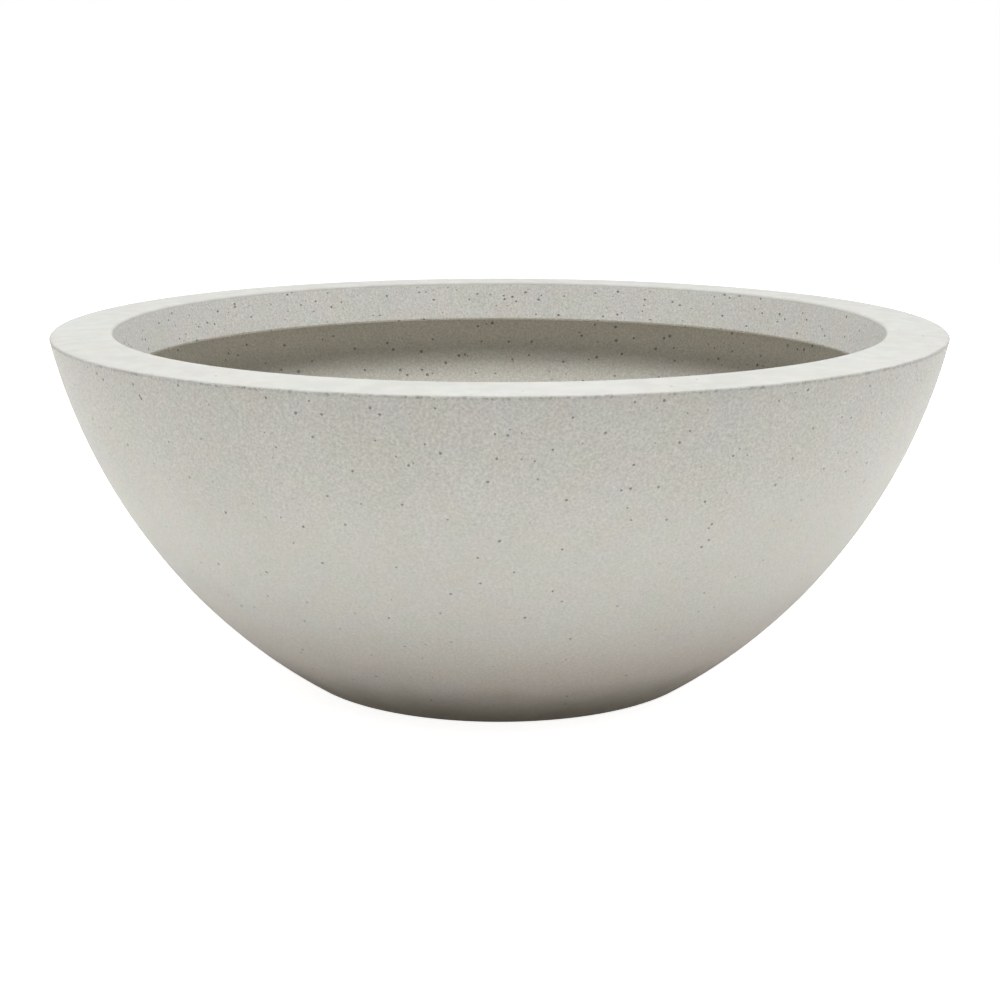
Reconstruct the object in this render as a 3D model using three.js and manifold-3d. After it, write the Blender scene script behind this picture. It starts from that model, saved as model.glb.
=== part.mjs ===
// A cast concrete bowl planter, 600 mm across and 240 mm high, with a rubber drain plug.
//
// The bowl is one thin shell of fibre-reinforced concrete. Its side is a single arc. At
// the top the shell turns in to a flat rim and down again to a lip, which leaves an
// undercut groove behind it. The plug closes the drain in the middle of the floor and
// lifts out by its tab.
//
// Millimetres, +Z up. The origin is on the ground, under the middle of the bowl.

import * as THREE from 'three';
import { mergeVertices } from 'three/addons/utils/BufferGeometryUtils.js';
import Module from 'manifold-3d';

const wasm = await Module();
wasm.setup();

// The bowl's outside
const EDGE_DIAMETER = 600.7; // across the rim's outer corner, 600 once it is rounded
const HEIGHT = 240; // ground to the rim's crest, at the mouth
const BASE_DIAMETER = 273; // where the side's arc meets the ground
const SIDE_RADIUS = 379; // the arc from the base to the rim
const BASE_ROUND = 6;

// The rim and its turned-down lip
const MOUTH_DIAMETER = 519; // across the rim's inner corner
const RIM_FALL = 1.5; // the rim's top falls this much outwards, to shed water
const RIM_ROUND = 1.5;
const MOUTH_ROUND = 4;
const LIP_DEPTH = 30; // crest to the lip's lower edge
const LIP_LEAN = 6.5; // the lip's face leans in by this much, so that it left its mould
const LIP_FRONT_ROUND = 1.5;
const LIP_BACK_ROUND = 4;
const GROOVE_ROUND = 5;

// The shell's thicknesses
const SIDE_WALL = 14;
const RIM_WALL = 15;
const LIP_WALL = 13;
const FLOOR_THICKNESS = 20; // ground to the top of the floor
const FLOOR_ROUND = 30; // the trowelled cove between the floor and the side

// The underside
const FOOT_WIDTH = 26; // the ring that the bowl stands on
const FOOT_RECESS = 3.5; // the underside within the ring is raised by this much
const FOOT_LEAN = 2;
const FOOT_ROUND = 1.5;

// The drain through the floor, with a shallow seat round it that takes the plug's flange
const SEAT_DIAMETER = 47;
const SEAT_DEPTH = 1.5;
const SEAT_LEAN = 0.6;
const SEAT_ROUND = 0.5;
const DRAIN_DIAMETER = 26; // at the seat
const DRAIN_TAPER = 1.6; // the drain is this much narrower at the underside
const DRAIN_TOP_ROUND = 2;
const DRAIN_LOW_ROUND = 1;
const SEAT_HEIGHT = FLOOR_THICKNESS - SEAT_DEPTH;
const DRAIN_LENGTH = SEAT_HEIGHT - FOOT_RECESS;

// The plug
const SEAT_GAP = 0.3; // between the plug and the bowl, all round
const FLANGE_DIAMETER = 42;
const FLANGE_EDGE = 3; // thickness at the flange's edge
const FLANGE_CROWN = 1.5; // the flange's middle stands this much higher
const FLANGE_ROUND = 1.2;
const RIB_COUNT = 2;
const RIB_HEIGHT = 1.1; // from the stem to the rib's crest
const RIB_WIDTH = 2.6;
const STEM_END_LIFT = 2; // from the underside's recess up to the stem's end
const STEM_ROUND = 1;
const CORE_DIAMETER = 13; // the hollow in the stem, which lets it flex
const CORE_DEPTH = 9;
const CORE_ROUND = 2;
const TAB_WIDTH = 18;
const TAB_HEIGHT = 13; // above the flange's edge
const TAB_THICKNESS = 4.5;
const TAB_ROUND = 1.2;

// How finely curves are faceted
const BOWL_FACETS = 88;
const PLUG_FACETS = 32;
const BOWL_SAG = 0.25; // the most that a section's facet strays from its arc
const PLUG_SAG = 0.15;
const CENTRE_PASSES = 8;

// ---------------------------------------------------------------------------------------
// Sections. A section is a closed outline in (radius, height), given by its corners in
// order with the material on the left. Each corner has the radius of its round, and the
// edge that leaves it is straight, or an arc where the corner names a centre.

function corner(radius, height, round = 0, arcCentre = null) {
  return { at: new THREE.Vector2(radius, height), round, arcCentre };
}

function nearestOnEdge(edge, point) {
  if (edge.centre) {
    return point.clone().sub(edge.centre).setLength(edge.radius).add(edge.centre);
  }
  const along = edge.to.clone().sub(edge.from).normalize();
  return edge.from.clone().addScaledVector(along, point.clone().sub(edge.from).dot(along));
}

// The centre of the round that touches both edges of a corner. It starts on the line that
// halves the corner, and each pass moves it by what its two distances are off.
function roundCentre(before, after, round) {
  const back = before.from.clone().sub(after.from).normalize();
  const ahead = after.to.clone().sub(after.from).normalize();
  const half = 0.5 * Math.acos(THREE.MathUtils.clamp(back.dot(ahead), -1, 1));
  const centre = after.from.clone();
  centre.addScaledVector(back.add(ahead).normalize(), round / Math.sin(half));
  for (let pass = 0; pass < CENTRE_PASSES; pass++) {
    const a = centre.clone().sub(nearestOnEdge(before, centre));
    const b = centre.clone().sub(nearestOnEdge(after, centre));
    const missA = round - a.length();
    const missB = round - b.length();
    a.normalize();
    b.normalize();
    const cross = a.x * b.y - a.y * b.x;
    centre.x += (missA * b.y - missB * a.y) / cross;
    centre.y += (missB * a.x - missA * b.x) / cross;
  }
  return centre;
}

// The points of an arc from one point to another, the shorter way and without its ends.
function insideArc(centre, from, to, sag) {
  const start = from.clone().sub(centre);
  const end = to.clone().sub(centre);
  const radius = start.length();
  const turn = Math.atan2(start.x * end.y - start.y * end.x, start.dot(end));
  const stepLimit = 2 * Math.acos(Math.max(1 - sag / radius, 0));
  const steps = Math.max(Math.ceil(Math.abs(turn) / stepLimit), 2);
  const points = [];
  for (let step = 1; step < steps; step++) {
    points.push(start.clone().rotateAround(new THREE.Vector2(), (turn * step) / steps).add(centre));
  }
  return points;
}

function sectionPoints(corners, sag) {
  const edges = corners.map((here, index) => {
    const next = corners[(index + 1) % corners.length];
    const centre = here.arcCentre;
    return { from: here.at, to: next.at, centre, radius: centre ? here.at.distanceTo(centre) : 0 };
  });
  const rounds = corners.map((here, index) => {
    if (here.round === 0) return { start: here.at, end: here.at, between: [] };
    const before = edges[(index + corners.length - 1) % corners.length];
    const centre = roundCentre(before, edges[index], here.round);
    const start = nearestOnEdge(before, centre);
    const end = nearestOnEdge(edges[index], centre);
    return { start, end, between: insideArc(centre, start, end, sag) };
  });
  const points = [];
  rounds.forEach((round, index) => {
    points.push(round.start);
    if (round.start !== round.end) points.push(...round.between, round.end);
    const edge = edges[index];
    const next = rounds[(index + 1) % rounds.length];
    if (edge.centre) points.push(...insideArc(edge.centre, round.end, next.start, sag));
  });
  return points;
}

// Where a straight edge from `start`, leaning `lean` over a drop of `depth`, has moved to
// once it is set back square to itself by `distance`, at the given height.
function radiusBehind(start, lean, depth, distance, height) {
  const slope = lean / depth;
  return start.x - slope * (start.y - height) + distance * Math.hypot(1, slope);
}

// ---------------------------------------------------------------------------------------
// Solids

function revolve(points, facets) {
  const geometry = new THREE.LatheGeometry(points, facets);
  geometry.rotateX(Math.PI / 2);
  geometry.deleteAttribute('normal');
  geometry.deleteAttribute('uv');
  return mergeVertices(geometry, 1e-4);
}

function toSolid(geometry) {
  const plain = geometry.clone();
  plain.deleteAttribute('normal');
  plain.deleteAttribute('uv');
  const merged = mergeVertices(plain, 1e-4);
  const triangles = [];
  const index = merged.index.array;
  for (let at = 0; at < index.length; at += 3) {
    const [a, b, c] = index.slice(at, at + 3);
    if (a !== b && b !== c && c !== a) triangles.push(a, b, c);
  }
  const vertProperties = Float32Array.from(merged.attributes.position.array);
  const triVerts = Uint32Array.from(triangles);
  return new wasm.Manifold(new wasm.Mesh({ numProp: 3, vertProperties, triVerts }));
}

function toGeometry(solid) {
  const mesh = solid.getMesh();
  const geometry = new THREE.BufferGeometry();
  geometry.setAttribute('position', new THREE.BufferAttribute(mesh.vertProperties, 3));
  geometry.setIndex(new THREE.BufferAttribute(mesh.triVerts, 1));
  geometry.computeVertexNormals();
  return geometry;
}

// ---------------------------------------------------------------------------------------
// The bowl

const rimCorner = new THREE.Vector2(EDGE_DIAMETER / 2, HEIGHT - RIM_FALL);
const baseCorner = new THREE.Vector2(BASE_DIAMETER / 2, 0);
const mouthCorner = new THREE.Vector2(MOUTH_DIAMETER / 2, HEIGHT);

function arcCentreThrough(low, high, radius) {
  const chord = high.clone().sub(low);
  const reach = Math.sqrt(radius ** 2 - chord.lengthSq() / 4);
  const across = new THREE.Vector2(-chord.y, chord.x).setLength(reach);
  return low.clone().add(high).multiplyScalar(0.5).add(across);
}

const sideCentre = arcCentreThrough(baseCorner, rimCorner, SIDE_RADIUS);
const innerSideRadius = SIDE_RADIUS - SIDE_WALL;

function innerRadiusAt(height) {
  return sideCentre.x + Math.sqrt(innerSideRadius ** 2 - (sideCentre.y - height) ** 2);
}

function bowlSection() {
  const drainTop = DRAIN_DIAMETER / 2;
  const drainLow = drainTop - DRAIN_TAPER / 2;
  const seatEdge = SEAT_DIAMETER / 2;
  const footInside = baseCorner.x - FOOT_WIDTH;
  const lipLow = HEIGHT - LIP_DEPTH;
  const lipFront = mouthCorner.x - LIP_LEAN;
  const lipBack = radiusBehind(mouthCorner, LIP_LEAN, LIP_DEPTH, LIP_WALL, lipLow);
  const grooveTop = HEIGHT - RIM_WALL;
  const grooveFront = radiusBehind(mouthCorner, LIP_LEAN, LIP_DEPTH, LIP_WALL, grooveTop);
  const grooveBack = innerRadiusAt(grooveTop);
  const grooveRound = Math.min(GROOVE_ROUND, 0.45 * (grooveBack - grooveFront));
  return [
    corner(drainLow, FOOT_RECESS, DRAIN_LOW_ROUND),
    corner(footInside - FOOT_LEAN, FOOT_RECESS, FOOT_ROUND),
    corner(footInside, 0, FOOT_ROUND),
    corner(baseCorner.x, baseCorner.y, BASE_ROUND, sideCentre),
    corner(rimCorner.x, rimCorner.y, RIM_ROUND),
    corner(mouthCorner.x, mouthCorner.y, MOUTH_ROUND),
    corner(lipFront, lipLow, LIP_FRONT_ROUND),
    corner(lipBack, lipLow, LIP_BACK_ROUND),
    corner(grooveFront, grooveTop, grooveRound),
    corner(grooveBack, grooveTop, grooveRound, sideCentre),
    corner(innerRadiusAt(FLOOR_THICKNESS), FLOOR_THICKNESS, FLOOR_ROUND),
    corner(seatEdge, FLOOR_THICKNESS, SEAT_ROUND),
    corner(seatEdge - SEAT_LEAN, SEAT_HEIGHT, SEAT_ROUND),
    corner(drainTop, SEAT_HEIGHT, DRAIN_TOP_ROUND),
  ];
}

function bowlShell() {
  const points = sectionPoints(bowlSection(), BOWL_SAG);
  points.push(points[0].clone());
  return revolve(points, BOWL_FACETS);
}

// ---------------------------------------------------------------------------------------
// The plug, with its own origin in the middle of the flange's lower face

// The stem follows the drain's taper, so its radius depends on how far down it is.
function stemRadiusAt(depth) {
  const taperPerDepth = DRAIN_TAPER / 2 / DRAIN_LENGTH;
  const drainRadius = DRAIN_DIAMETER / 2 - taperPerDepth * (depth - SEAT_GAP);
  return drainRadius - SEAT_GAP - RIB_HEIGHT;
}

function plugSection() {
  const stemLength = SEAT_GAP + DRAIN_LENGTH - STEM_END_LIFT;
  const flangeRadius = FLANGE_DIAMETER / 2;
  const coreRadius = CORE_DIAMETER / 2;
  const corners = [
    corner(0, CORE_DEPTH - stemLength),
    corner(coreRadius, CORE_DEPTH - stemLength, CORE_ROUND),
    corner(coreRadius, -stemLength),
    corner(stemRadiusAt(stemLength), -stemLength, STEM_ROUND),
  ];
  for (let rib = 1; rib <= RIB_COUNT; rib++) {
    const depth = stemLength * (1 - rib / (RIB_COUNT + 1));
    const low = corner(stemRadiusAt(depth + RIB_WIDTH / 2), -depth - RIB_WIDTH / 2);
    const high = corner(stemRadiusAt(depth - RIB_WIDTH / 2), -depth + RIB_WIDTH / 2);
    const halfWidth = low.at.distanceTo(high.at) / 2;
    const ribRadius = (halfWidth ** 2 + RIB_HEIGHT ** 2) / (2 * RIB_HEIGHT);
    low.arcCentre = arcCentreThrough(low.at, high.at, ribRadius);
    corners.push(low, high);
  }
  corners.push(
    corner(stemRadiusAt(0), 0, STEM_ROUND),
    corner(flangeRadius, 0, FLANGE_ROUND),
    corner(flangeRadius, FLANGE_EDGE, FLANGE_ROUND),
    corner(TAB_WIDTH / 2, FLANGE_EDGE + FLANGE_CROWN, FLANGE_ROUND),
    corner(0, FLANGE_EDGE + FLANGE_CROWN),
  );
  return corners;
}

// A flat tab with a round top and softened edges. It starts inside the flange, so that
// the two join.
function pullTab() {
  const half = TAB_WIDTH / 2 - TAB_ROUND;
  const foot = FLANGE_EDGE / 2;
  const shoulder = FLANGE_EDGE + TAB_HEIGHT - TAB_WIDTH / 2;
  const outline = new THREE.Shape();
  outline.moveTo(-half, foot + TAB_ROUND);
  outline.lineTo(half, foot + TAB_ROUND);
  outline.lineTo(half, shoulder);
  outline.absarc(0, shoulder, half, 0, Math.PI, false);
  outline.closePath();
  const geometry = new THREE.ExtrudeGeometry(outline, {
    depth: TAB_THICKNESS - 2 * TAB_ROUND,
    bevelSize: TAB_ROUND,
    bevelThickness: TAB_ROUND,
    bevelSegments: 2,
    curveSegments: 8,
  });
  geometry.translate(0, 0, TAB_ROUND - TAB_THICKNESS / 2);
  geometry.rotateX(Math.PI / 2);
  return geometry;
}

function drainPlug() {
  const body = toSolid(revolve(sectionPoints(plugSection(), PLUG_SAG), PLUG_FACETS));
  return toGeometry(body.add(toSolid(pullTab())));
}

// ---------------------------------------------------------------------------------------
// The planter

const concrete = new THREE.MeshStandardMaterial({ color: 0xb9b4ab, roughness: 0.92, metalness: 0 });
const rubber = new THREE.MeshStandardMaterial({ color: 0x2c2b2a, roughness: 0.7, metalness: 0 });

const bowl = new THREE.Mesh(bowlShell(), concrete);
bowl.name = 'bowl_shell';

const plug = new THREE.Mesh(drainPlug(), rubber);
plug.name = 'drain_plug';
plug.position.z = SEAT_HEIGHT + SEAT_GAP;

const planter = new THREE.Group();
planter.name = 'concrete_bowl_planter';
planter.add(bowl, plug);

export default planter;
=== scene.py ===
# %% [markdown]
# # A cast concrete bowl planter
#
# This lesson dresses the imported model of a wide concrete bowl. The CAD gives two bodies:
# the bowl, which is one thin casting, and the rubber plug that closes its drain. Each gets
# a finer mesh here, drawn as a section and spun round the bowl's axis, and a procedural
# material. Then come the floor, the lamps and the camera.
#
# The frame is loaded first, because every piece rides on one of its bodies.

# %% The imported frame
import math

import bpy
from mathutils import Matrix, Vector


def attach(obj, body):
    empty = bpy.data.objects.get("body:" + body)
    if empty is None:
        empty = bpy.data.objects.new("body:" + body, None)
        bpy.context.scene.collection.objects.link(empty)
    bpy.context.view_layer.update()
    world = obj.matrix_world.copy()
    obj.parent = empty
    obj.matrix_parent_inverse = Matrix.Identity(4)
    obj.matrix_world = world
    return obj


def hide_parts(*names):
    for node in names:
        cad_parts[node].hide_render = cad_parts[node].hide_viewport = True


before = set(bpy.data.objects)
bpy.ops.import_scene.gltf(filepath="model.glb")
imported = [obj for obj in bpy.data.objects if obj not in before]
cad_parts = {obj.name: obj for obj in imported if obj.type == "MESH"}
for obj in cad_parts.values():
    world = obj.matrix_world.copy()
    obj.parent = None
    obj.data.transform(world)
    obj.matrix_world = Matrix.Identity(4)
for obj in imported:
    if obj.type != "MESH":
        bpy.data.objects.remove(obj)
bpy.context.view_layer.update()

# %% [markdown]
# ## The camera
#
# The photograph was taken from a little above the rim, with a long lens. Its place comes
# from the two ellipses that the rim and the mouth draw in it: their flatness gives the
# height, and the difference between the near and the far side of the rim gives the
# distance. The image is 1000 pixels wide, and the view angle is worked out from the lens's
# length in those pixels, so that no Blender default has a say in it.

# %% The camera
MM = 0.001
IMAGE_WIDTH = 1000
LENS_IN_PIXELS = 1991
SENSOR_WIDTH = 36

CAMERA_DISTANCE = 1351.8 * MM
CAMERA_HEIGHT = 411.7 * MM
CAMERA_ASIDE = 0.3 * MM
CAMERA_PITCH = math.radians(12.34)

camera_data = bpy.data.cameras.new("camera")
camera_data.sensor_width = SENSOR_WIDTH
camera_data.lens = SENSOR_WIDTH * LENS_IN_PIXELS / IMAGE_WIDTH
camera_data.clip_start = 0.05
camera_data.clip_end = 60
camera = bpy.data.objects.new("camera", camera_data)
camera.location = (CAMERA_ASIDE, -CAMERA_DISTANCE, CAMERA_HEIGHT)
camera.rotation_euler = (math.pi / 2 - CAMERA_PITCH, 0, 0)
bpy.context.scene.collection.objects.link(camera)
bpy.context.scene.camera = camera
print("camera: lens", round(camera_data.lens, 1), "mm")

# %% [markdown]
# ## Drawing a section
#
# Both pieces are round, so each is drawn once as a section and then spun, as a potter's
# template works. A section starts as a small plane whose corners are merged into one
# point. The point is extruded along straight edges and spun along curved ones. An extra
# row of points is left just past each corner: it keeps the shading of the flat beside a
# round from bending.
#
# The corners are drawn sharp, and a vertex bevel rounds them afterwards. The bevel is
# measured along the edges, so a round of a given radius needs the length from the corner
# to where that round touches, which depends on the corner's angle.

# %% Sections
ROW = 8 * MM
HOLD = 0.8 * MM
ROUND_STEP = math.radians(12)
NEAR = 1e-5
SHARPEST_SMOOTH = math.radians(40)


class Corner:
    """A corner of a section, with its round and, for an arc, the centre of the next edge."""

    def __init__(self, radius, height, round_radius=0.0, centre=None):
        self.at = Vector((radius, height))
        self.round_radius = round_radius
        self.centre = centre


def sets_off(start, end, centre):
    """The direction in which an edge leaves its start."""
    if centre is None:
        return (end - start).normalized()
    spoke = (start - centre).normalized()
    across = Vector((-spoke.y, spoke.x))
    return across if across.dot(end - start) > 0 else -across


def setback_and_steps(before, corner, after):
    """How far from the corner its round touches, and how many facets the round gets."""
    if corner.round_radius == 0:
        return 0.0, 0
    back = sets_off(corner.at, before.at, before.centre)
    ahead = sets_off(corner.at, after.at, corner.centre)
    opening = back.angle(ahead)
    steps = max(math.ceil((math.pi - opening) / ROUND_STEP), 3)
    return corner.round_radius / math.tan(opening / 2), steps


def extrude_straight(way, length, steps):
    for _ in range(steps):
        move = way * (length / steps)
        bpy.ops.mesh.extrude_region_move(TRANSFORM_OT_translate={"value": (move.x, 0, move.y)})


def extrude_arc(centre, angle, steps):
    bpy.ops.mesh.spin(steps=steps, angle=angle, center=(centre.x, 0, centre.y), axis=(0, 1, 0))


def draw_edge(corner, after, first_setback, last_setback):
    """Draws from one corner to the next, with a row just past each corner's round."""
    start, end, centre = corner.at, after.at, corner.centre
    if centre is None:
        length = (end - start).length
    else:
        turn = (end - centre).angle_signed(start - centre)
        length = abs(turn) * (start - centre).length
    free = length - first_setback - last_setback
    hold = min(HOLD, free / 4)
    middle = free - 2 * hold
    rows = max(round(middle / ROW), 1)
    for part, steps in ((first_setback + hold, 1), (middle, rows), (last_setback + hold, 1)):
        if centre is None:
            extrude_straight((end - start).normalized(), part, steps)
        else:
            extrude_arc(centre, turn * part / length, steps)


def start_section(name, start):
    """A plane is added where the section starts and merged into one point."""
    bpy.ops.object.select_all(action="DESELECT")
    bpy.ops.mesh.primitive_plane_add(size=MM, location=(start.x, 0, start.y))
    piece = bpy.context.object
    piece.name = piece.data.name = name
    bpy.ops.object.transform_apply(location=True, rotation=True, scale=True)
    bpy.ops.object.mode_set(mode="EDIT")
    bpy.ops.mesh.select_mode(type="VERT")
    bpy.ops.mesh.select_all(action="SELECT")
    bpy.ops.mesh.merge(type="CENTER")
    return piece


def select_where(piece, test):
    """Selects the vertices that pass a test on their place, and returns to edit mode."""
    bpy.ops.mesh.select_mode(type="VERT")
    bpy.ops.mesh.select_all(action="DESELECT")
    bpy.ops.object.mode_set(mode="OBJECT")
    for vertex in piece.data.vertices:
        vertex.select = test(vertex.co)
    bpy.ops.object.mode_set(mode="EDIT")


def draw_section(name, corners, closed):
    piece = start_section(name, corners[0].at)
    count = len(corners)
    cuts = [
        setback_and_steps(corners[i - 1], corners[i], corners[(i + 1) % count])
        if closed or 0 < i < count - 1
        else (0.0, 0)
        for i in range(count)
    ]
    for i in range(count if closed else count - 1):
        after = (i + 1) % count
        draw_edge(corners[i], corners[after], cuts[i][0], cuts[after][0])
    bpy.ops.mesh.select_all(action="SELECT")
    bpy.ops.mesh.remove_doubles(threshold=NEAR)
    for corner, (setback, steps) in zip(corners, cuts):
        if steps:
            place = Vector((corner.at.x, 0, corner.at.y))
            select_where(piece, lambda at: (at - place).length < NEAR)
            bpy.ops.mesh.bevel(offset=setback, segments=steps, profile=0.5, affect="VERTICES")
    return piece


def revolve(piece, facets):
    """Spins the section once round the bowl's axis and closes the seam and the poles."""
    bpy.ops.mesh.select_all(action="SELECT")
    bpy.ops.mesh.spin(steps=facets, angle=2 * math.pi, center=(0, 0, 0), axis=(0, 0, 1))
    bpy.ops.mesh.select_all(action="SELECT")
    bpy.ops.mesh.remove_doubles(threshold=NEAR)
    bpy.ops.mesh.normals_make_consistent(inside=False)
    bpy.ops.object.mode_set(mode="OBJECT")
    bpy.ops.object.shade_smooth()
    print(piece.name, "has", len(piece.data.polygons), "faces")


# %% [markdown]
# ## The bowl
#
# The real bowl is one casting of fibre-reinforced concrete, about 14 mm thick. Its side is
# a single arc from the foot to the rim. At the top the shell turns in to a flat rim, which
# falls slightly outwards to shed water, and then down to a lip that leans in, so that it
# could leave its mould. Behind the lip is an undercut groove. Inside, the side runs into a
# flat floor through a trowelled cove, and the underside is raised within a foot ring.
#
# The section goes round the shell once, from the drain under the foot, up the outside,
# over the rim and the lip, and down the inside. The sizes are the CAD's, but for three. The
# round at the mouth is tighter, as the photograph shows it, and the height and the rim's
# radius are 0.05 mm less. The finer mesh reaches further into its rounds than the CAD's
# facets do, and those two keep it within the CAD's box.

# %% The bowl's sizes
HEIGHT = 239.95 * MM
EDGE_RADIUS = 300.3 * MM
BASE_RADIUS = 136.5 * MM
SIDE_RADIUS = 379 * MM
SIDE_WALL = 14 * MM
RIM_FALL = 1.5 * MM
RIM_WALL = 15 * MM
MOUTH_RADIUS = 259.5 * MM
LIP_DEPTH = 30 * MM
LIP_LEAN = 6.5 * MM
LIP_WALL = 13 * MM
FLOOR = 20 * MM
FOOT_WIDTH = 26 * MM
FOOT_RECESS = 3.5 * MM
FOOT_LEAN = 2 * MM
SEAT_RADIUS = 23.5 * MM
SEAT_DEPTH = 1.5 * MM
SEAT_LEAN = 0.6 * MM
DRAIN_RADIUS = 13 * MM
DRAIN_TAPER = 0.8 * MM
BOWL_FACETS = 192

EDGE_ROUND = 1.5 * MM  # on the rim's outer edge, the lip's lower edge and the foot
BASE_ROUND = 6 * MM
MOUTH_ROUND = 2.5 * MM
LIP_BACK_ROUND = 4 * MM
GROOVE_ROUND = 5 * MM
COVE = 30 * MM
SEAT_ROUND = 0.5 * MM
DRAIN_TOP_ROUND = 2 * MM
DRAIN_LOW_ROUND = 1 * MM


def arc_centre(low, high, radius):
    """The centre of an arc through two points, on the left of the way from low to high."""
    chord = high - low
    reach = math.sqrt(radius**2 - chord.length_squared / 4)
    return (low + high) / 2 + Vector((-chord.y, chord.x)).normalized() * reach


BASE_EDGE = Vector((BASE_RADIUS, 0))
RIM_EDGE = Vector((EDGE_RADIUS, HEIGHT - RIM_FALL))
SIDE_CENTRE = arc_centre(BASE_EDGE, RIM_EDGE, SIDE_RADIUS)


def inner_radius_at(height):
    rise = SIDE_CENTRE.y - height
    return SIDE_CENTRE.x + math.sqrt((SIDE_RADIUS - SIDE_WALL) ** 2 - rise**2)


def lip_back_at(height):
    """The back of the lip follows its leaning face at the lip's thickness."""
    slope = LIP_LEAN / LIP_DEPTH
    return MOUTH_RADIUS - slope * (HEIGHT - height) + LIP_WALL * math.hypot(1, slope)


print("the side's centre, mm:", [round(x / MM, 2) for x in SIDE_CENTRE])

# %% The bowl's section and its spin
LIP_LOW = HEIGHT - LIP_DEPTH
GROOVE_TOP = HEIGHT - RIM_WALL
FOOT_INSIDE = BASE_RADIUS - FOOT_WIDTH
SEAT = FLOOR - SEAT_DEPTH

bowl_corners = [
    Corner(DRAIN_RADIUS - DRAIN_TAPER, FOOT_RECESS, DRAIN_LOW_ROUND),
    Corner(FOOT_INSIDE - FOOT_LEAN, FOOT_RECESS, EDGE_ROUND),
    Corner(FOOT_INSIDE, 0, EDGE_ROUND),
    Corner(BASE_RADIUS, 0, BASE_ROUND, SIDE_CENTRE),
    Corner(RIM_EDGE.x, RIM_EDGE.y, EDGE_ROUND),
    Corner(MOUTH_RADIUS, HEIGHT, MOUTH_ROUND),
    Corner(MOUTH_RADIUS - LIP_LEAN, LIP_LOW, EDGE_ROUND),
    Corner(lip_back_at(LIP_LOW), LIP_LOW, LIP_BACK_ROUND),
    Corner(lip_back_at(GROOVE_TOP), GROOVE_TOP, GROOVE_ROUND),
    Corner(inner_radius_at(GROOVE_TOP), GROOVE_TOP, GROOVE_ROUND, SIDE_CENTRE),
    Corner(inner_radius_at(FLOOR), FLOOR, COVE),
    Corner(SEAT_RADIUS, FLOOR, SEAT_ROUND),
    Corner(SEAT_RADIUS - SEAT_LEAN, SEAT, SEAT_ROUND),
    Corner(DRAIN_RADIUS, SEAT, DRAIN_TOP_ROUND),
]
bowl = draw_section("cast_bowl", bowl_corners, closed=True)
revolve(bowl, BOWL_FACETS)

# %% [markdown]
# ## The drain plug
#
# The plug is moulded in rubber: a flange that covers the drain, a tapered stem with two
# half-round ribs that grip the hole, a hollow core that lets the stem flex, and a tab to
# pull it out by. Everything but the tab is round, so it is drawn and spun as the bowl is.
# The tab is a block whose top corners are bevelled into a half circle. A Boolean union
# joins the two into one moulding.

# %% The plug's sizes
SEAT_GAP = 0.3 * MM
FLANGE_RADIUS = 21 * MM
FLANGE_EDGE = 3 * MM
FLANGE_CROWN = 1.5 * MM
RIB_COUNT = 2
RIB_HEIGHT = 1.1 * MM
RIB_WIDTH = 2.6 * MM
STEM_END_LIFT = 2 * MM  # from the underside's recess up to the stem's end
STEM_LENGTH = SEAT_GAP + SEAT - FOOT_RECESS - STEM_END_LIFT
STEM_ROUND = 1 * MM
FLANGE_ROUND = 1.2 * MM
CORE_RADIUS = 6.5 * MM
CORE_DEPTH = 9 * MM
CORE_ROUND = 2 * MM
TAB_WIDTH = 18 * MM
TAB_HEIGHT = 13 * MM
TAB_THICKNESS = 4.5 * MM
TAB_ROUND = 1.2 * MM
TAB_FLAT = 0.2 * MM  # half of what the tab's half circle leaves flat at its top
TAB_TOP_STEPS = 12
TAB_EDGE_STEPS = 4
PLUG_FACETS = 96
PLUG_BASE = SEAT + SEAT_GAP


def stem_radius_at(depth):
    """The stem follows the drain's taper, so its radius depends on how far down it is."""
    taper = DRAIN_TAPER / (SEAT - FOOT_RECESS)
    return DRAIN_RADIUS - taper * (depth - SEAT_GAP) - SEAT_GAP - RIB_HEIGHT


def stem_corner(depth, round_radius=0.0, centre=None):
    return Corner(stem_radius_at(depth), PLUG_BASE - depth, round_radius, centre)


def rib_corners(depth):
    """A half-round rib is one arc between the two points where it leaves the stem."""
    low = stem_corner(depth + RIB_WIDTH / 2)
    high = stem_corner(depth - RIB_WIDTH / 2)
    half = (high.at - low.at).length / 2
    low.centre = arc_centre(low.at, high.at, (half**2 + RIB_HEIGHT**2) / (2 * RIB_HEIGHT))
    return [low, high]


# %% The plug's section and its spin
plug_corners = [
    Corner(0, PLUG_BASE - STEM_LENGTH + CORE_DEPTH),
    Corner(CORE_RADIUS, PLUG_BASE - STEM_LENGTH + CORE_DEPTH, CORE_ROUND),
    Corner(CORE_RADIUS, PLUG_BASE - STEM_LENGTH),
    stem_corner(STEM_LENGTH, STEM_ROUND),
]
for rib in range(RIB_COUNT):
    plug_corners += rib_corners(STEM_LENGTH * (1 - (rib + 1) / (RIB_COUNT + 1)))
plug_corners += [
    stem_corner(0, STEM_ROUND),
    Corner(FLANGE_RADIUS, PLUG_BASE, FLANGE_ROUND),
    Corner(FLANGE_RADIUS, PLUG_BASE + FLANGE_EDGE, FLANGE_ROUND),
    Corner(TAB_WIDTH / 2, PLUG_BASE + FLANGE_EDGE + FLANGE_CROWN, FLANGE_ROUND),
    Corner(0, PLUG_BASE + FLANGE_EDGE + FLANGE_CROWN),
]
plug = draw_section("rubber_plug", plug_corners, closed=False)
revolve(plug, PLUG_FACETS)

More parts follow.
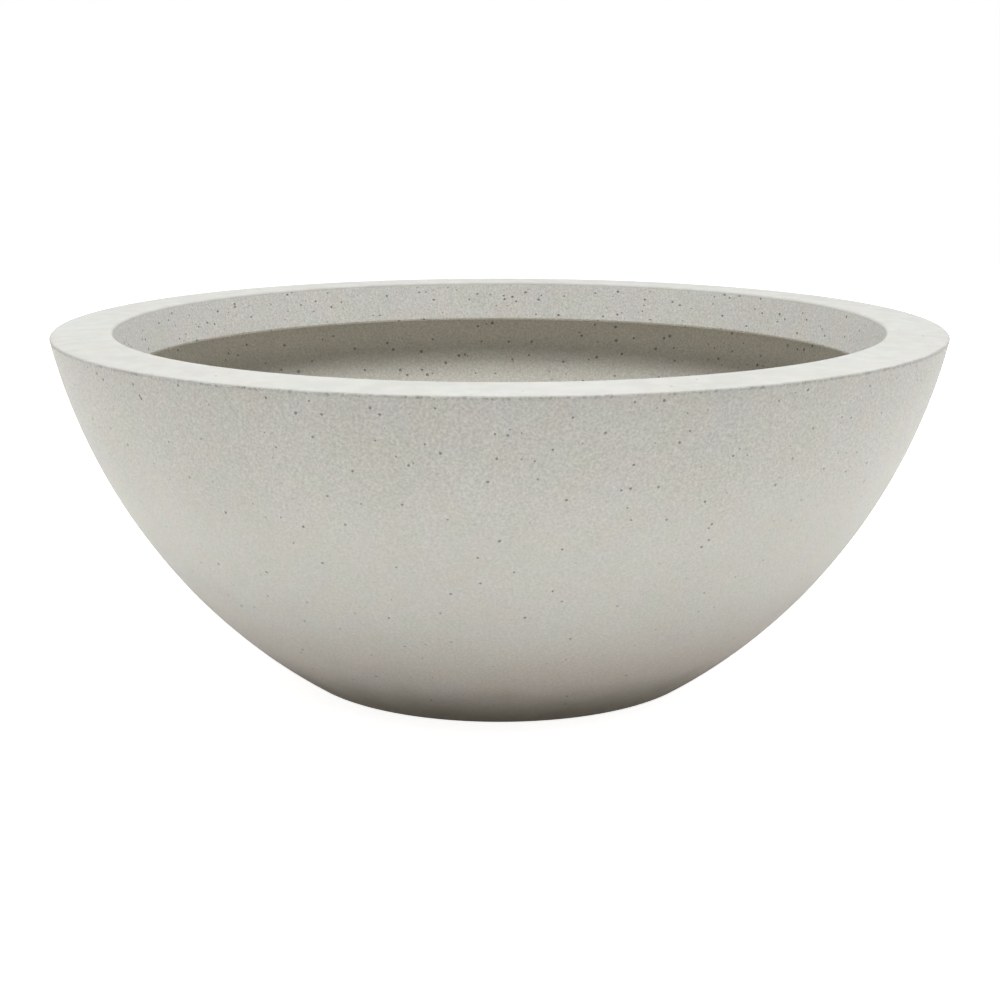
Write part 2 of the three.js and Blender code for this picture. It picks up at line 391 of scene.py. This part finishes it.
# %% The plug's tab
tab_low = PLUG_BASE + FLANGE_EDGE / 2
tab_high = PLUG_BASE + FLANGE_EDGE + TAB_HEIGHT
bpy.ops.object.select_all(action="DESELECT")
bpy.ops.mesh.primitive_cube_add(
    size=1,
    location=(0, 0, (tab_low + tab_high) / 2),
    scale=(TAB_WIDTH, TAB_THICKNESS, tab_high - tab_low),
)
tab = bpy.context.object
tab.name = tab.data.name = "plug_tab"
bpy.ops.object.transform_apply(location=True, rotation=True, scale=True)


def select_edges(piece, test):
    """Selects the edges whose two ends pass a test together, and returns to edit mode."""
    bpy.ops.object.mode_set(mode="EDIT")
    bpy.ops.mesh.select_mode(type="EDGE")
    bpy.ops.mesh.select_all(action="DESELECT")
    bpy.ops.object.mode_set(mode="OBJECT")
    points = piece.data.vertices
    for edge in piece.data.edges:
        edge.select = test(*(points[i].co for i in edge.vertices))
    bpy.ops.object.mode_set(mode="EDIT")


select_edges(tab, lambda a, b: min(a.z, b.z) > tab_high - NEAR and abs(a.x - b.x) < NEAR)
bpy.ops.mesh.bevel(
    offset=TAB_WIDTH / 2 - TAB_FLAT, segments=TAB_TOP_STEPS, profile=0.5, affect="EDGES"
)
select_edges(tab, lambda a, b: abs(a.y - b.y) < NEAR and max(a.z, b.z) > tab_low + NEAR)
bpy.ops.mesh.bevel(offset=TAB_ROUND, segments=TAB_EDGE_STEPS, profile=0.5, affect="EDGES")
bpy.ops.mesh.select_all(action="SELECT")
bpy.ops.mesh.normals_make_consistent(inside=False)
bpy.ops.object.mode_set(mode="OBJECT")

bpy.ops.object.select_all(action="DESELECT")
plug.select_set(True)
bpy.context.view_layer.objects.active = plug
union = plug.modifiers.new("tab", "BOOLEAN")
union.operation = "UNION"
union.object = tab
bpy.ops.object.modifier_apply(modifier=union.name)
bpy.data.objects.remove(tab)
bpy.ops.object.shade_smooth_by_angle(angle=SHARPEST_SMOOTH)
print("the plug with its tab has", len(plug.data.polygons), "faces")

# %% [markdown]
# ## Node helpers
#
# Both materials are made of nodes. These helpers add a node with its settings and wire its
# inputs: an input is given another node's output, or a plain value. The grain, which both
# materials use, and the pinholes are shader groups with named inputs and outputs.

# %% Nodes and groups
NUMBER = "NodeSocketFloat"


def wire(tree, node, inputs):
    for socket, value in inputs.items():
        if isinstance(value, bpy.types.NodeSocket):
            tree.links.new(value, node.inputs[socket])
        else:
            node.inputs[socket].default_value = value


def add(tree, kind, inputs, **settings):
    node = tree.nodes.new("ShaderNode" + kind)
    for name, value in settings.items():
        setattr(node, name, value)
    wire(tree, node, inputs)
    return node


def calc(tree, operation, *values):
    return add(tree, "Math", dict(enumerate(values)), operation=operation).outputs[0]


def ease(tree, value, low, high, at_low=0.0, at_high=1.0):
    """Runs smoothly from at_low to at_high as the value goes from low to high."""
    ends = {"From Min": low, "From Max": high, "To Min": at_low, "To Max": at_high}
    step = add(tree, "MapRange", {"Value": value, **ends}, interpolation_type="SMOOTHSTEP")
    return step.outputs["Result"]


def blend(tree, mask, elsewhere, there):
    """One value where the mask is 0, another where it is 1, and a soft change between."""
    return ease(tree, mask, 0.0, 1.0, elsewhere, there)


def product(tree, first, *others):
    for other in others:
        first = calc(tree, "MULTIPLY", first, other)
    return first


def noise(tree, vector, scale, detail, roughness):
    """Noise about 0.5. The scale is in waves per metre."""
    inputs = {"Vector": vector, "Scale": scale, "Detail": detail, "Roughness": roughness}
    return add(tree, "TexNoise", inputs).outputs["Fac"]


def mix_colours(tree, share, first, second):
    """Mixes two colours. The Mix node's colour inputs have the numbers 6 and 7."""
    node = add(tree, "Mix", {0: share, 6: first, 7: second}, data_type="RGBA")
    return node.outputs[2]


def dim(tree, colour, factor):
    return add(tree, "VectorMath", {0: colour, "Scale": factor}, operation="SCALE").outputs[0]


def make_group(name, inputs, outputs):
    """A group that takes a Vector and plain numbers, and gives plain numbers."""
    group = bpy.data.node_groups.new(name, "ShaderNodeTree")
    group.interface.new_socket("Vector", in_out="INPUT", socket_type="NodeSocketVector")
    for label, value in inputs.items():
        socket = group.interface.new_socket(label, in_out="INPUT", socket_type=NUMBER)
        socket.default_value = value
    for label in outputs:
        group.interface.new_socket(label, in_out="OUTPUT", socket_type=NUMBER)
    given = group.nodes.new("NodeGroupInput").outputs
    result = group.nodes.new("NodeGroupOutput").inputs
    return group, given, result


def use_group(tree, group, inputs):
    node = add(tree, "Group", {}, node_tree=group)
    wire(tree, node, inputs)
    return node.outputs


def start_material(name):
    material = bpy.data.materials.new(name)
    material.use_nodes = True
    material.node_tree.nodes.clear()
    return material, material.node_tree


# %% [markdown]
# ### Grain
#
# Cast concrete shows the sand in it as a fine, even speckle, and moulded rubber shows the
# grain of its mould. The group gives a brightness that swings about 1, and a height for a
# Bump node. Sizes are real, in metres, because the pattern reads Object coordinates.

# %% The grain group
grain, given, result = make_group(
    "grain", {"Grain Size": 1.2 * MM, "Contrast": 0.1}, ["Brightness", "Height"]
)
grain_scale = calc(grain, "DIVIDE", 1.0, given["Grain Size"])
speckle = noise(grain, given["Vector"], grain_scale, 2.0, 0.6)
swing = calc(grain, "SUBTRACT", speckle, 0.5)
grain.links.new(
    calc(grain, "MULTIPLY_ADD", swing, given["Contrast"], 1.0), result["Brightness"]
)
grain.links.new(speckle, result["Height"])

# %% [markdown]
# ### Pinholes
#
# Air bubbles against the mould leave small round holes. Each cell of a Voronoi texture
# holds one bubble, with its own size and depth under the surface, and the surface cuts
# through a few of them. That gives what the casting shows: many faint pits, few large
# ones, and no two the same.

# %% The pinhole group
SMALLEST_HOLE = 0.45  # as a part of the largest
HOLE_EDGE = (1.1, 0.6)  # the mask runs from 0 to 1 between these parts of the radius

pinholes, given, result = make_group(
    "pinholes", {"Spacing": 8 * MM, "Largest Radius": 1 * MM, "Share": 0.5}, ["Mask"]
)
cell_scale = calc(pinholes, "DIVIDE", 1.0, given["Spacing"])
cells = add(pinholes, "TexVoronoi", {"Vector": given["Vector"], "Scale": cell_scale})
chance = add(pinholes, "SeparateColor", {"Color": cells.outputs["Color"]}).outputs
size_of_one = blend(pinholes, chance["Red"], SMALLEST_HOLE, 1.0)
radius_in_cells = product(pinholes, given["Largest Radius"], cell_scale, size_of_one)
from_middle = calc(pinholes, "DIVIDE", cells.outputs["Distance"], radius_in_cells)
hole = ease(pinholes, from_middle, *HOLE_EDGE)
there = calc(pinholes, "LESS_THAN", chance["Green"], given["Share"])
pinholes.links.new(calc(pinholes, "MULTIPLY", hole, there), result["Mask"])
print("groups:", grain.name, pinholes.name)

# %% [markdown]
# ## The concrete
#
# The casting is a pale grey, and its finish changes from place to place: the rim's top is
# trowelled smooth and the inside is rougher. Several places also get painted light and
# shade, such as the darker foot. So the first step works out where on the bowl a point is.
# Three measures do that: the height, the distance from the axis, and the distance from the
# centre of the side's arc, which tells the inside of the shell from the outside. Masks could
# be painted on the mesh instead, but masks made of measures are sharp at any mesh density.

# %% Where on the bowl
concrete, nodes = start_material("cast_concrete")
place = add(nodes, "TexCoord", {}).outputs["Object"]
across = add(nodes, "VectorMath", {0: place, 1: (1, 1, 0)}, operation="MULTIPLY").outputs[0]
from_axis = add(nodes, "VectorMath", {0: across}, operation="LENGTH").outputs["Value"]
height = add(nodes, "SeparateXYZ", {0: place}).outputs["Z"]
section_place = add(nodes, "CombineXYZ", {"X": from_axis, "Y": height}).outputs[0]
from_centre = add(
    nodes,
    "VectorMath",
    {0: section_place, 1: (SIDE_CENTRE.x, SIDE_CENTRE.y, 0)},
    operation="DISTANCE",
).outputs["Value"]

top_of_rim = ease(nodes, height, RIM_EDGE.y - 1.2 * MM, RIM_EDGE.y - 0.4 * MM)
inside = ease(
    nodes, from_centre, SIDE_RADIUS - 0.4 * SIDE_WALL, SIDE_RADIUS - 0.6 * SIDE_WALL
)
outside = calc(nodes, "SUBTRACT", 1.0, inside)
below_lip = ease(nodes, height, LIP_LOW + 3 * MM, LIP_LOW - 1 * MM)
inner_wall = calc(nodes, "MULTIPLY", inside, below_lip)
lip_face = calc(nodes, "SUBTRACT", inside, calc(nodes, "MAXIMUM", inner_wall, top_of_rim))
upper_side = ease(nodes, height, 115 * MM, 225 * MM)
print("seven masks of places on the bowl")

# %% [markdown]
# ### Colour
#
# Cement is never one colour. Its grey drifts between a greener and a pinker one and between
# a bluer and a yellower one over a few centimetres, and it gets lighter and darker over a
# hand's width. Inside, below the lip, it is painted a little browner: painted warm light, as
# light bounced about inside the bowl.
# The lowest part of the side is painted warmer, as painted warm bounce light, and at the
# ground darker, as painted shade where the bowl shades the floor beside its foot. Both
# reach up raggedly, so their height is shaken with noise.

# %% The cement's colour
GREENER = (0.563, 0.571, 0.520, 1)
PINKER = (0.590, 0.554, 0.521, 1)
BLUER = (0.573, 0.564, 0.539, 1)
YELLOWER = (0.580, 0.561, 0.499, 1)
# A browner tint for the inner wall below the lip: painted warm light, as light bounced inside
# the bowl.
PAINTED_WARM_BOUNCE = (0.594, 0.555, 0.484, 1)
PAINTED_WARM_BOUNCE_SHARE = 0.55

pink_drift = ease(nodes, noise(nodes, place, 48.0, 2.0, 0.5), 0.3, 0.7)
yellow_drift = ease(nodes, noise(nodes, place, 37.0, 2.0, 0.5), 0.3, 0.7)
cement = mix_colours(
    nodes,
    0.5,
    mix_colours(nodes, pink_drift, GREENER, PINKER),
    mix_colours(nodes, yellow_drift, BLUER, YELLOWER),
)
# Painted warm bounce light on the inner wall below the lip.
painted_warm_bounce_here = calc(nodes, "MULTIPLY", inner_wall, PAINTED_WARM_BOUNCE_SHARE)
cement = mix_colours(nodes, painted_warm_bounce_here, cement, PAINTED_WARM_BOUNCE)

# %% The painted warmth and shade at the foot
# The warm veil is painted warm bounce light low on the side, and the dark edge is painted
# shade where the bowl shades the floor beside its foot.
PAINTED_WARM_FOOT = (0.620, 0.566, 0.510, 1)
PAINTED_WARM_FOOT_TOP = 102 * MM
PAINTED_WARM_FOOT_FULL = 50 * MM
PAINTED_FOOT_SHADE = (0.168, 0.141, 0.094, 1)
PAINTED_FOOT_SHADE_TOP = 50 * MM
PAINTED_FOOT_SHADE_FULL = 8 * MM
PAINTED_FOOT_SHADE_SHARE = 0.8
RAGGEDNESS = 14 * MM

shaken = noise(nodes, place, 30.0, 3.0, 0.6)
ragged_height = calc(nodes, "MULTIPLY_ADD", shaken, RAGGEDNESS, height)
painted_warm_foot_share = ease(nodes, noise(nodes, place, 13.0, 2.0, 0.5), 0.35, 0.6, 0.45, 0.85)
# Painted light and shade: warmer and darker towards the ground on the outside.
for colour, top, full, share in (
    (PAINTED_WARM_FOOT, PAINTED_WARM_FOOT_TOP, PAINTED_WARM_FOOT_FULL, painted_warm_foot_share),
    (PAINTED_FOOT_SHADE, PAINTED_FOOT_SHADE_TOP, PAINTED_FOOT_SHADE_FULL, PAINTED_FOOT_SHADE_SHARE),
):
    painted_at_foot = product(nodes, ease(nodes, ragged_height, top, full), outside, share)
    cement = mix_colours(nodes, painted_at_foot, cement, colour)
print("the veil reaches at most", round(PAINTED_WARM_FOOT_TOP / MM), "mm up the side")

# %% [markdown]
# ### Sand, pinholes and crumbs
#
# The sand shows most inside, less low on the side, and hardly at all on the trowelled top
# of the rim. The pinholes are largest on the inner wall and most frequent on the lip's
# face, and the rim's top has next to none; their dark colour is painted shade in the holes.
# Along the rim's sharp outer edge crumbs have broken out. On the side they are painted dark,
# as painted shade in the chips, and on the top they are pale where they bare paler cement.

# %% Sand and pinholes
SAND_SIZE = 1.6 * MM
SAND_INSIDE = 0.85
HOLE_SPACING = 5.3 * MM
HOLES_INSIDE = 0.55

contrast = calc(
    nodes,
    "MAXIMUM",
    blend(nodes, upper_side, 0.46, 0.80),
    calc(nodes, "MULTIPLY", inside, SAND_INSIDE),
)
contrast = calc(nodes, "MULTIPLY", contrast, blend(nodes, top_of_rim, 1.0, 0.18))
sand = use_group(
    nodes, grain, {"Vector": place, "Grain Size": SAND_SIZE, "Contrast": contrast}
)

hole_share = calc(
    nodes,
    "MAXIMUM",
    blend(nodes, upper_side, 0.15, 0.46),
    calc(nodes, "MULTIPLY", inside, HOLES_INSIDE),
)
hole_share = product(
    nodes, hole_share, blend(nodes, top_of_rim, 1.0, 0.03), blend(nodes, inner_wall, 1.0, 0.6)
)
hole_radius = calc(
    nodes,
    "ADD",
    blend(nodes, inside, 0.95 * MM, 1.1 * MM),
    blend(nodes, inner_wall, 0.0, 0.4 * MM),
)
holes = use_group(
    nodes,
    pinholes,
    {
        "Vector": place,
        "Spacing": HOLE_SPACING,
        "Largest Radius": hole_radius,
        "Share": hole_share,
    },
)["Mask"]

# %% Crumbs along the rim's outer edge
CRUMB_BAND = 3.2 * MM

near_edge = calc(
    nodes,
    "MULTIPLY",
    ease(nodes, from_axis, EDGE_RADIUS - CRUMB_BAND, EDGE_RADIUS - 0.8 * MM),
    ease(nodes, height, RIM_EDGE.y - CRUMB_BAND, RIM_EDGE.y - 1.2 * MM),
)
crumble = ease(nodes, noise(nodes, place, 420.0, 2.0, 0.7), 0.5, 0.66)
crumbs = calc(nodes, "MULTIPLY", near_edge, crumble)
pale_crumbs = calc(nodes, "MULTIPLY", crumbs, top_of_rim)
print("crumbs lie within", CRUMB_BAND / MM, "mm of the edge")

# %% [markdown]
# ### Putting the concrete together
#
# Each effect lightens or darkens the cement by a factor about 1, and the factors are
# multiplied. Some are painted light and shade: shade in the pinholes and in the crumbs on
# the side, a darker rim top, a lighter lip face, and on the inner wall a lighter band in the
# lip's shadow over a darker band where light falls. The relief is the same patterns as
# heights, in millimetres: sand stands up a little, and holes and crumbs go down. It is too
# fine for the mesh, so a Bump node takes it. The cement is dull, and a little duller still
# on the grains.

# %% The concrete's skin
# The crumbs are painted dark, as painted shade in the chips; on the rim's top the paler crumbs
# outweigh it.
CRUMB_PAINTED_SHADE = 0.74
PALE_CRUMB = 1.45
# The rim's top is painted darker, as painted shade, where the overhead light falls most.
RIM_PAINTED_SHADE = 0.89
RIM_MOTTLE = 0.045
# The lip's face is painted lighter: painted light.
LIP_PAINTED_LIGHT = 1.07
# On the inner wall: painted lighter in the lip's shadow and painted darker in the lit band
# below it, as painted light and shade.
UNDER_LIP_PAINTED_FILL = (0.96, 1.18)
# The pinholes are painted darker: painted shade in the holes.
HOLE_PAINTED_SHADE_OUTSIDE = 0.58
HOLE_PAINTED_SHADE_INSIDE = 0.44
SAND_RELIEF = 0.18
HOLE_RELIEF = -0.7
CRUMB_RELIEF = -0.25

clouds = ease(nodes, noise(nodes, place, 11.0, 3.0, 0.5), 0.25, 0.75, 0.98, 1.02)
mottle = ease(nodes, noise(nodes, place, 70.0, 3.0, 0.6), 0.3, 0.7, -RIM_MOTTLE, RIM_MOTTLE)
# Painted light and shade on the inner wall: lighter high under the lip, darker lower down.
painted_under_lip_fill = ease(nodes, height, 178 * MM, 198 * MM, *UNDER_LIP_PAINTED_FILL)
hole_painted_shade = blend(nodes, inside, HOLE_PAINTED_SHADE_OUTSIDE - 1, HOLE_PAINTED_SHADE_INSIDE - 1)
brightness = product(
    nodes,
    clouds,
    sand["Brightness"],
    calc(nodes, "MULTIPLY_ADD", holes, hole_painted_shade, 1.0),
    blend(nodes, crumbs, 1.0, CRUMB_PAINTED_SHADE),
    blend(nodes, pale_crumbs, 1.0, PALE_CRUMB),
    blend(nodes, top_of_rim, 1.0, RIM_PAINTED_SHADE),
    calc(nodes, "MULTIPLY_ADD", mottle, top_of_rim, 1.0),
    blend(nodes, lip_face, 1.0, LIP_PAINTED_LIGHT),
    calc(nodes, "MULTIPLY_ADD", calc(nodes, "SUBTRACT", painted_under_lip_fill, 1.0), inner_wall, 1.0),
)

relief = calc(nodes, "MULTIPLY", sand["Height"], SAND_RELIEF)
relief = calc(nodes, "MULTIPLY_ADD", holes, HOLE_RELIEF, relief)
relief = calc(nodes, "MULTIPLY_ADD", crumbs, CRUMB_RELIEF, relief)
bump = add(nodes, "Bump", {"Strength": 1.0, "Distance": MM, "Height": relief})

skin = add(
    nodes,
    "BsdfPrincipled",
    {
        "Base Color": dim(nodes, cement, brightness),
        "Roughness": ease(nodes, sand["Height"], 0.3, 0.7, 0.82, 0.96),
        "Specular IOR Level": 0.35,
        "Normal": bump.outputs["Normal"],
    },
)
add(nodes, "OutputMaterial", {"Surface": skin.outputs[0]})
bowl.data.materials.append(concrete)
print("concrete has", len(nodes.nodes), "nodes")

# %% [markdown]
# ## The rubber
#
# The plug is black rubber with the matt grain of its mould. Cement dust has settled in
# patches on the flange, which faces up. The tab is clean, because fingers touch it.

# %% The rubber material
BLACK_RUBBER = (0.024, 0.023, 0.022, 1)
CEMENT_DUST = (0.30, 0.285, 0.26, 1)
DUST_SHARE = 0.55
RUBBER_GRAIN = 0.5 * MM
RUBBER_RELIEF = 0.06 * MM

rubber, nodes = start_material("plug_rubber")
place = add(nodes, "TexCoord", {}).outputs["Object"]
height = add(nodes, "SeparateXYZ", {0: place}).outputs["Z"]
facing = add(nodes, "SeparateXYZ", {0: add(nodes, "NewGeometry", {}).outputs["Normal"]})
mould_grain = use_group(
    nodes, grain, {"Vector": place, "Grain Size": RUBBER_GRAIN, "Contrast": 0.5}
)
faces_up = ease(nodes, facing.outputs["Z"], 0.55, 0.95)
low_on_plug = ease(nodes, height, PLUG_BASE + 9 * MM, PLUG_BASE + 4 * MM)
patches = ease(nodes, noise(nodes, place, 160.0, 4.0, 0.65), 0.42, 0.72)
dust = product(nodes, faces_up, low_on_plug, patches)
dust_here = calc(nodes, "MULTIPLY", dust, DUST_SHARE)
dusty = mix_colours(nodes, dust_here, BLACK_RUBBER, CEMENT_DUST)
rubber_relief = add(
    nodes,
    "Bump",
    {"Strength": 1.0, "Distance": RUBBER_RELIEF, "Height": mould_grain["Height"]},
)
skin = add(
    nodes,
    "BsdfPrincipled",
    {
        "Base Color": dim(nodes, dusty, mould_grain["Brightness"]),
        "Roughness": blend(nodes, dust, 0.55, 0.9),
        "Specular IOR Level": 0.45,
        "Normal": rubber_relief.outputs["Normal"],
    },
)
add(nodes, "OutputMaterial", {"Surface": skin.outputs[0]})
plug.data.materials.clear()
plug.data.materials.append(rubber)
print("rubber has", len(nodes.nodes), "nodes")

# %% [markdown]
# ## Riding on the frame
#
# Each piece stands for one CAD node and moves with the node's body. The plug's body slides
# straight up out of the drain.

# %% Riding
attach(bowl, "bowl")
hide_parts("bowl_shell")
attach(plug, "plug")
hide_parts("drain_plug")

# %% [markdown]
# ## Floor and background
#
# The photograph's background is pure white. The floor is a plain pale disc. Seen by the
# camera it also glows, and more so away from the bowl, so that open floor reads as white
# while the bowl's soft shadow stays on it. The glow is only for rays from the camera and
# for rays that were mirrored or let through, so it adds no light to the bowl, and the world
# behind it is treated the same way. The floor lies a hair below the foot, because two faces
# in one plane would flicker where they meet.

# %% The floor and the world
FLOOR_RADIUS = 3.0
FLOOR_COLOUR = (0.93, 0.91, 0.875, 1)
FLOOR_GLOW = 0.84
GLOW_STARTS = 0.35
GLOW_FULL = 1.2
BELOW_FOOT = 0.1 * MM
AMBIENT = 0.05
WHITE = (1, 1, 1, 1)


def seen_directly(tree):
    """1 for rays from the camera and for reflected and transmitted rays, else 0."""
    path = add(tree, "LightPath", {}).outputs
    seen = calc(tree, "MAXIMUM", path["Is Camera Ray"], path["Is Glossy Ray"])
    return calc(tree, "MAXIMUM", seen, path["Is Transmission Ray"])


bpy.ops.object.select_all(action="DESELECT")
bpy.ops.mesh.primitive_circle_add(
    vertices=96, radius=FLOOR_RADIUS, fill_type="NGON", location=(0, 0, -BELOW_FOOT)
)
floor = bpy.context.object
floor.name = floor.data.name = "floor"
bpy.ops.object.transform_apply(location=True, rotation=True, scale=True)

pale, nodes = start_material("pale_floor")
matt = add(nodes, "BsdfDiffuse", {"Color": FLOOR_COLOUR}).outputs[0]
spot = add(nodes, "TexCoord", {}).outputs["Object"]
away = add(nodes, "VectorMath", {0: spot}, operation="LENGTH").outputs["Value"]
glow_strength = ease(nodes, away, GLOW_STARTS, GLOW_FULL, FLOOR_GLOW, 1.0)
glow = add(nodes, "Emission", {"Strength": glow_strength}).outputs[0]
glowing = add(nodes, "AddShader", {0: matt, 1: glow}).outputs[0]
surface = add(nodes, "MixShader", {0: seen_directly(nodes), 1: matt, 2: glowing}).outputs[0]
add(nodes, "OutputMaterial", {"Surface": surface})
floor.data.materials.append(pale)

world = bpy.data.worlds.new("white_studio")
world.use_nodes = True
nodes = world.node_tree
nodes.nodes.clear()
ambient = add(nodes, "Background", {"Color": WHITE, "Strength": AMBIENT}).outputs[0]
white = add(nodes, "Background", {"Color": WHITE, "Strength": 1.0}).outputs[0]
seen_world = add(nodes, "MixShader", {0: seen_directly(nodes), 1: ambient, 2: white})
add(nodes, "OutputWorld", {"Surface": seen_world.outputs[0]})
bpy.context.scene.world = world

# %% [markdown]
# ## The lamps
#
# The light in the photograph is soft. A softbox nearly above the bowl makes the rim the
# brightest part. It leaves the inside dark under the lip, and brightens it where the light
# falls past the lip. A weaker one further forward reaches the upper half of the side. The
# rest of the side is lit mostly by the pale floor, so it is darkest near the foot, where
# the bowl shades the floor. Low strips wash the floor at both sides and in front, and two
# low panels behind, a little bluer, lift the edges of the side. The strips look straight
# down and the panels are low and far off, so little of their light gets over the rim and
# the inside stays dark. All the lamps are hidden from the camera, because other views look
# towards them.
#
# Each lamp has its place, its width and depth, its power in watts, where it looks and its
# colour.

# %% The lamps
AIM = Vector((0, 0, 0.15))
STRAIGHT_DOWN = None
DAYLIGHT = (0.975, 1.0, 1.02)
SKYLIGHT = (0.93, 1.0, 1.25)
LAMPS = {
    "overhead": ((0.0, -0.12, 2.3), (0.6, 0.75), 50.0, AIM, DAYLIGHT),
    "overhead_front": ((0.0, -0.75, 2.3), (0.6, 0.5), 14.0, AIM, DAYLIGHT),
    "panel_left": ((-1.6, 1.3, 0.35), (2.0, 0.7), 6.0, AIM, SKYLIGHT),
    "panel_right": ((1.6, 1.3, 0.35), (2.0, 0.7), 7.5, AIM, SKYLIGHT),
    "wash_left": ((-1.0, 0.0, 0.18), (0.5, 1.6), 9.5, STRAIGHT_DOWN, DAYLIGHT),
    "wash_right": ((1.1, 0.0, 0.3), (0.5, 1.6), 9.0, STRAIGHT_DOWN, DAYLIGHT),
    "wash_front": ((0.0, -0.75, 0.3), (1.6, 0.3), 1.6, STRAIGHT_DOWN, DAYLIGHT),
}
for name, (where, (width, depth), watts, aim, colour) in LAMPS.items():
    lamp_data = bpy.data.lights.new(name, "AREA")
    lamp_data.shape = "RECTANGLE"
    lamp_data.size = width
    lamp_data.size_y = depth
    lamp_data.energy = watts
    lamp_data.color = colour
    lamp = bpy.data.objects.new(name, lamp_data)
    lamp.location = where
    if aim is not STRAIGHT_DOWN:
        lamp.rotation_euler = (aim - Vector(where)).to_track_quat("-Z", "Y").to_euler()
    lamp.visible_camera = False
    bpy.context.scene.collection.objects.link(lamp)
print("lamps:", ", ".join(LAMPS))

# %% [markdown]
# ## Finish
#
# The scene's view transform is the plain one.

# %% Finish
bpy.context.scene.view_settings.view_transform = "Standard"
